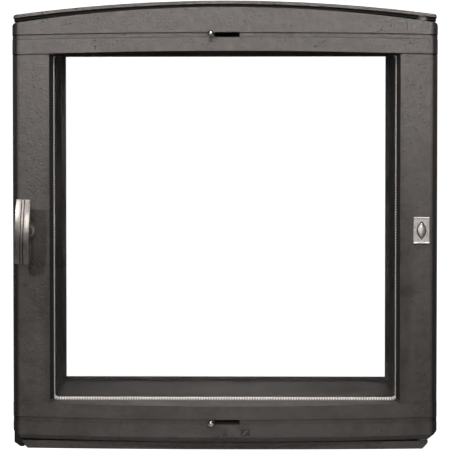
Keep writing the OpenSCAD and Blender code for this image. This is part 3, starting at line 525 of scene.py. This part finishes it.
def rope_over(node, strands, pitch, step):
    """A braided rope in place of a plain one, on the same line and as thick."""
    low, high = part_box(node)
    rope_r = (high[1] - low[1]) / 2
    piece = braided_ring(node.replace("_seal", "_braid"), high[0] - rope_r, low[2] + rope_r,
                         high[2] - rope_r, (low[1] + high[1]) / 2, rope_r, strands, pitch, step)
    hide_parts(node)
    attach(piece, "door")


rope_over("glass_rope_seal", strands=5, pitch=15 * MM, step=1.1 * MM)
rope_over("door_rope_seal", strands=7, pitch=22 * MM, step=2.2 * MM)


# ---------------------------------------------------------------- latch lever

LEVER_W, LEVER_T, LEVER_LENGTH, LEVER_BOW = 17.0 * MM, 8.0 * MM, 73.0 * MM, 6.0 * MM
LEVER_EDGE_R, LEVER_BACK_R = 0.8 * MM, 2.5 * MM
LEVER_LEAN, LEVER_DROP = math.radians(2.0), 1.2 * MM
LEVER_STEPS = 41
GROOVE_AT, GROOVE_HALF, GROOVE_DEEP, GROOVE_TAPER = 1.6 * MM, 0.5 * MM, 0.9 * MM, 0.6
# The neck's radius at distances behind the lever's front: a waist that widens to the bush.
NECK_BACK = np.array([7.0, 10.0, 16.0, 22.0, 28.1]) * MM
NECK_R = np.array([6.4, 6.2, 6.3, 7.0, 8.0]) * MM
NECK_SIDES = 40
SHARP_ANGLE = math.radians(35)


def arc(across, out, radius, turns):
    """Points on a circle about (across, out) at turns in degrees."""
    return [(across + radius * math.cos(math.radians(turn)),
             out + radius * math.sin(math.radians(turn))) for turn in turns]


def lever_section():
    """The lever's closed outline across its length, and the sides that lie in its two grooves.

    Coordinates are across and outwards, in metres, and the front lies at outwards = 0. The
    right half runs from the groove over the front edge to the back; the left one mirrors it."""
    half = LEVER_W / 2
    floor = GROOVE_TAPER * GROOVE_HALF
    right = [(GROOVE_AT - GROOVE_HALF, 0.0), (GROOVE_AT - floor, -GROOVE_DEEP),
             (GROOVE_AT + floor, -GROOVE_DEEP), (GROOVE_AT + GROOVE_HALF, 0.0)]
    right += arc(half - LEVER_EDGE_R, -LEVER_EDGE_R, LEVER_EDGE_R, (90, 45, 0))
    right += arc(half - LEVER_BACK_R, LEVER_BACK_R - LEVER_T, LEVER_BACK_R, (0, -30, -60, -90))
    outline = right + [(-across, out) for across, out in reversed(right)]
    count = len(outline)
    groove_sides = (0, 1, 2, count - 4, count - 3, count - 2)
    return np.array(outline), np.isin(np.arange(count), groove_sides)


def lever_bar(front_y):
    """The lever's section swept along its bow: (points, columns, groove sides).

    At angle t of the bow, the front lies at z = R sin t and y = front + R (1 - cos t), and the
    section stands square to it."""
    radius = (LEVER_LENGTH ** 2 / 4 + LEVER_BOW ** 2) / (2 * LEVER_BOW)
    outline, grooves = lever_section()
    t = np.linspace(-1, 1, LEVER_STEPS) * math.asin(LEVER_LENGTH / 2 / radius)
    none = np.zeros_like(t)
    out = np.stack([none, -np.cos(t), np.sin(t)], 1)
    front = np.stack([none, front_y + radius * (1 - np.cos(t)), radius * np.sin(t)], 1)
    across = np.array([1.0, 0.0, 0.0])
    points = front[:, None] + outline[None, :, :1] * across + outline[None, :, 1:] * out[:, None]
    return points.reshape(-1, 3), len(outline), grooves


def lever_piece():
    """The latch lever: a bowed bar with square ends on a round, waisted neck.

    The bar leans about Y by the lean; the neck's ring k has its radius R_k at its own y."""
    low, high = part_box("handle_lever")
    middle_x, middle_z = (low[0] + high[0]) / 2, (low[2] + high[2]) / 2
    bar, columns, grooves = lever_bar(low[1])
    sine, cosine = math.sin(LEVER_LEAN), math.cos(LEVER_LEAN)
    lean = np.array([[cosine, 0.0, sine], [0.0, 1.0, 0.0], [-sine, 0.0, cosine]])
    bar = bar @ lean.T + np.array([middle_x, 0.0, middle_z - LEVER_DROP])
    angles = 2 * math.pi * np.arange(NECK_SIDES) / NECK_SIDES
    around = np.stack([np.cos(angles), np.zeros(NECK_SIDES), np.sin(angles)], 1)
    behind = np.array([0.0, 1.0, 0.0])
    neck = (np.array([middle_x, low[1], middle_z]) + NECK_R[:, None, None] * around
            + NECK_BACK[:, None, None] * behind).reshape(-1, 3)

    base, end = len(bar), len(bar) + len(neck)
    bar_faces = grid_faces(LEVER_STEPS, columns, wrap=True)
    neck_faces = grid_faces(len(NECK_R), NECK_SIDES, wrap=True)[:, [1, 0, 3, 2]] + base
    caps = [range(columns - 1, -1, -1), range(base - columns, base),
            range(base, base + NECK_SIDES), range(end - 1, end - NECK_SIDES - 1, -1)]
    piece = mesh_object("handle_bar", np.concatenate([bar, neck]),
                        [*bar_faces, *neck_faces, *caps], SATIN_SILVER)
    # The groove sides take painted shade.
    piece.data.materials.append(GROOVE_SHADE)
    slots = np.zeros(len(piece.data.polygons), dtype=np.int32)
    slots[:len(bar_faces)] = np.tile(grooves, LEVER_STEPS - 1)
    piece.data.polygons.foreach_set("material_index", slots)
    piece.data.set_sharp_from_angle(angle=SHARP_ANGLE)
    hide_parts("handle_lever")
    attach(piece, "handle")


lever_piece()


# ---------------------------------------------------------------- cover over the unused hole

COVER_X = 0.225
COVER_SEAT_R = LEAF_BOW_R - STILE_SET_BACK
LENS_HALF_W, LENS_HALF_H, LENS_FLOOR = 4.7 * MM, 8.9 * MM, 1.0 * MM
LENS_ROWS, LENS_COLUMNS = 33, 17
RIDGE_START = 13.2 * MM
COVER_LOW, COVER_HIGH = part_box("blank_cover")
COVER_Z = (COVER_LOW[2] + COVER_HIGH[2]) / 2


def cover_lens(name, grow, base, rise, material):
    """A domed lens on the cover's flat oval, square to the bowed face.

    At u along and v across, both -1 to 1, half width = W (1 - u^2) and
    height = base + rise (1 - v^2) (1 - u^4). The back has the same form, sunk to the floor."""
    turn = math.asin(COVER_X / COVER_SEAT_R)
    middle = np.array([COVER_X, LEAF_BOW_Y - COVER_SEAT_R * math.cos(turn), COVER_Z])
    across = np.array([math.cos(turn), math.sin(turn), 0.0])
    outward = np.array([math.sin(turn), -math.cos(turn), 0.0])
    upward = np.array([0.0, 0.0, 1.0])
    u = np.linspace(-1, 1, LENS_ROWS)[:, None, None]
    v = np.linspace(-1, 1, LENS_COLUMNS)[None, :, None]
    height = base + rise * (1 - v * v) * (1 - u ** 4)
    front = (middle + across * LENS_HALF_W * grow * (1 - u * u) * v
             + upward * LENS_HALF_H * grow * u + outward * height).reshape(-1, 3)
    back = front - outward * (base - LENS_FLOOR)

    faces = grid_faces(LENS_ROWS, LENS_COLUMNS)
    under = len(front)
    left = np.arange(LENS_ROWS - 1) * LENS_COLUMNS
    right = left + LENS_COLUMNS - 1
    left_side = np.stack([left, left + LENS_COLUMNS, under + left + LENS_COLUMNS,
                          under + left], 1)
    right_side = np.stack([right + LENS_COLUMNS, right, under + right,
                           under + right + LENS_COLUMNS], 1)
    piece = mesh_object(name, np.concatenate([front, back]),
                        np.concatenate([faces, under + faces[:, ::-1], left_side, right_side]),
                        material)
    join_doubles(piece.data)
    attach(piece, "door")


def paint_ridge_highlight():
    """Painted highlight: the cover's ridges past RIDGE_START from its middle take lighter silver."""
    cover = nodes["blank_cover"].data
    cover.materials.append(RIDGE_SILVER)
    centres = np.zeros(3 * len(cover.polygons))
    cover.polygons.foreach_get("center", centres)
    ridges = np.abs(centres[2::3] - COVER_Z) > RIDGE_START
    cover.polygons.foreach_set("material_index", ridges.astype(np.int32))


cover_lens("cover_dome", grow=1.0, base=3.25 * MM, rise=1.3 * MM, material=COVER_SILVER)
# The dark rim round the lens is painted shade in the groove about it.
cover_lens("cover_dome_shade_rim", grow=1.2, base=2.15 * MM, rise=0.1 * MM, material=GROOVE_SHADE)
paint_ridge_highlight()


# ---------------------------------------------------------------- air marks

MARK_SINK = 0.3 * MM


def stroke(foot, tip, span):
    """Four corners of a stroke: foot and tip are its x ranges below and above, span is its z range."""
    return [(foot[0], span[0]), (foot[1], span[0]), (tip[1], span[1]), (tip[0], span[1])]


def face_mark(name, strokes, lift, material):
    """Flat strokes cast on the leaf's bowed face, given in millimetres of x and z.

    A point lies lift in front of the face y = centre - sqrt(R^2 - x^2); its back is sunk in."""
    places, faces = [], []
    for corners in strokes:
        xz = np.array(corners) * MM
        face = LEAF_BOW_Y - np.sqrt(LEAF_BOW_R ** 2 - xz[:, 0] ** 2)
        base, n = sum(len(part) for part in places), len(corners)
        for sink in (-lift, MARK_SINK):
            places.append(np.stack([xz[:, 0], face + sink, xz[:, 1]], 1))
        faces.append(range(base, base + n))
        faces.append(range(base + 2 * n - 1, base + n - 1, -1))
        faces += [(base + (k + 1) % n, base + k, base + n + k, base + n + (k + 1) % n)
                  for k in range(n)]
    piece = mesh_object(name, np.concatenate(places), faces, material, smooth=False)
    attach(piece, "door")


MORE_AIR = [stroke(foot=(-2.4, 3.3), tip=(-2.4, 3.3), span=(-6.3, -4.7)),
            stroke(foot=(-2.4, -0.9), tip=(-3.2, -2.9), span=(-5.0, 0.6)),
            stroke(foot=(-0.5, 1.4), tip=(0.3, 0.6), span=(-5.0, 2.0)),
            stroke(foot=(1.8, 3.3), tip=(3.8, 4.1), span=(-5.0, 0.6))]
LESS_AIR = [stroke(foot=(18.3, 29.1), tip=(18.3, 29.1), span=(-6.3, 1.7))]
LESS_AIR_STROKE = [stroke(foot=(20.4, 21.9), tip=(25.5, 27.0), span=(-5.2, 0.6))]
face_mark("mark_more_air", MORE_AIR, 0.25 * MM, MARK_DARK)
face_mark("mark_less_air", LESS_AIR, 0.15 * MM, MARK_DARK)
face_mark("mark_stroke", LESS_AIR_STROKE, 0.3 * MM, MARK_LIGHT)


# ---------------------------------------------------------------- camera

# Fitted to the outline, the window, the collar and the slots in the photograph.
CAMERA_PLACE = (0.0191, -1.552, 0.2628)
CAMERA_PITCH, CAMERA_YAW = math.radians(-1.125), math.radians(0.705)

camera_data = bpy.data.cameras.new("camera")
camera_data.sensor_width = 36.0
camera_data.lens = 105.5
camera_data.clip_start = 0.05
camera = bpy.data.objects.new("camera", camera_data)
camera.location = CAMERA_PLACE
camera.rotation_euler = (math.pi / 2 + CAMERA_PITCH, 0.0, CAMERA_YAW)
scene.collection.objects.link(camera)
scene.camera = camera


# ---------------------------------------------------------------- lights

WARM_WHITE = (1.0, 0.93, 0.895)
# The lights at the rear and sides are narrow, so that they light the back and the opened leaf
# and pass the front by. Name, place, aim, (width, height), watts, spread in degrees.
LIGHTS = [
    ("key_left", (-0.65, -0.86, 0.64), (-0.2, -0.03, 0.36), (0.06, 0.06), 1.45, 120.0),
    ("key_right", (0.65, -0.86, 0.64), (0.2, -0.03, 0.36), (0.06, 0.06), 1.45, 120.0),
    ("top", (0.0, -0.9, 0.95), (0.0, -0.05, 0.5), (1.0, 0.1), 0.55, 30.0),
    ("overhead", (0.0, -0.5, 1.35), (0.0, -0.03, 0.1), (0.7, 0.15), 0.5, 30.0),
    ("fill", (0.0, -1.9, 0.62), (0.0, 0.0, 0.2), (0.66, 0.3), 0.8, 50.0),
    ("back", (0.0, 0.95, 0.8), (0.0, 0.03, 0.03), (0.5, 0.1), 0.033, 25.0),
    ("rear_left", (-1.0, 0.5, 0.4), (-0.25, 0.06, 0.25), (0.05, 0.5), 0.22, 16.0),
    ("rear_right", (1.0, 0.5, 0.4), (0.25, 0.06, 0.25), (0.05, 0.5), 0.22, 16.0),
    ("rear_top", (0.0, 0.8, 1.1), (0.0, 0.03, 0.48), (0.4, 0.05), 0.2, 14.0),
    ("side_left", (-1.5, -0.3, 0.6), (0.28, -0.31, 0.25), (0.05, 0.5), 0.5, 13.0),
    ("side_right", (1.8, -0.3, 0.6), (0.3, -0.31, 0.25), (0.05, 0.5), 0.4, 13.0),
]


def area_light(name, place, aim, size, watts, spread):
    """A soft rectangular light at place, turned to aim, that spreads over an angle in degrees."""
    light_data = bpy.data.lights.new(name, "AREA")
    light_data.shape = "RECTANGLE"
    light_data.size, light_data.size_y = size
    light_data.energy = watts
    light_data.spread = math.radians(spread)
    light_data.color = WARM_WHITE
    light = bpy.data.objects.new(name, light_data)
    light.location = place
    light.rotation_euler = (Vector(aim) - Vector(place)).to_track_quat("-Z", "Y").to_euler()
    scene.collection.objects.link(light)


for light_row in LIGHTS:
    area_light(*light_row)


# ---------------------------------------------------------------- stage and sky

SEEN_WHITE = 1.1
SKY_LIGHT = 0.03


def seen_share(tree):
    """1 on rays that the camera sees, also through the glass, and 0 on rays that light things."""
    path = tree.nodes.new("ShaderNodeLightPath").outputs
    straight = math_node(tree, "ADD", path["Is Camera Ray"], path["Is Transmission Ray"],
                         clamp=True)
    bounces = math_node(tree, "ADD", path["Diffuse Depth"], path["Glossy Depth"])
    return math_node(tree, "MULTIPLY", straight, math_node(tree, "LESS_THAN", bounces, 0.5))


def stage_material():
    """Pale matt paper that looks white, yet throws little light back on the part."""
    material, tree, shader = new_material("pale_stage")
    grain = noise(tree, object_place(tree), PAPER_GRAIN)
    tree.links.new(mix_colour(tree, grain, rgb(0.42, 0.42, 0.42), rgb(0.46, 0.46, 0.46)),
                   shader.inputs["Base Color"])
    shader.inputs["Roughness"].default_value = 0.9
    shader.inputs["Specular IOR Level"].default_value = 0.1
    shader.inputs["Emission Color"].default_value = rgb(1.0, 1.0, 1.0)
    tree.links.new(math_node(tree, "MULTIPLY", seen_share(tree), SEEN_WHITE),
                   shader.inputs["Emission Strength"])
    return material


def stage_sweep():
    """A pale floor under the part that turns up into a backdrop behind it by a quarter circle."""
    floor_z = cad_box[0][2] - 0.5 * MM
    bend, back, front, half_w, top, steps = 0.6, 2.6, -4.0, 4.0, 3.2, 12
    a = np.linspace(0, math.pi / 2, steps + 1)
    y = np.concatenate([[front], back - bend + bend * np.sin(a), [back]])
    z = np.concatenate([[floor_z], floor_z + bend * (1 - np.cos(a)), [top]])
    places = np.stack([np.tile([-half_w, half_w], len(y)), np.repeat(y, 2), np.repeat(z, 2)], 1)
    return mesh_object("stage_sweep", places, grid_faces(len(y), 2), stage_material())


def pale_sky():
    """A pale sky, white where it is seen and dim where it lights the part."""
    world = bpy.data.worlds.new("pale_world")
    world.use_nodes = True
    tree = world.node_tree
    sky = tree.nodes["Background"]
    sky.inputs["Color"].default_value = rgb(0.95, 0.97, 1.0)
    tree.links.new(ramp(tree, seen_share(tree), 0.0, 1.0, SKY_LIGHT, SEEN_WHITE),
                   sky.inputs["Strength"])
    return world


scene.world = pale_sky()
stage_sweep()
scene.view_settings.view_transform = "Standard"
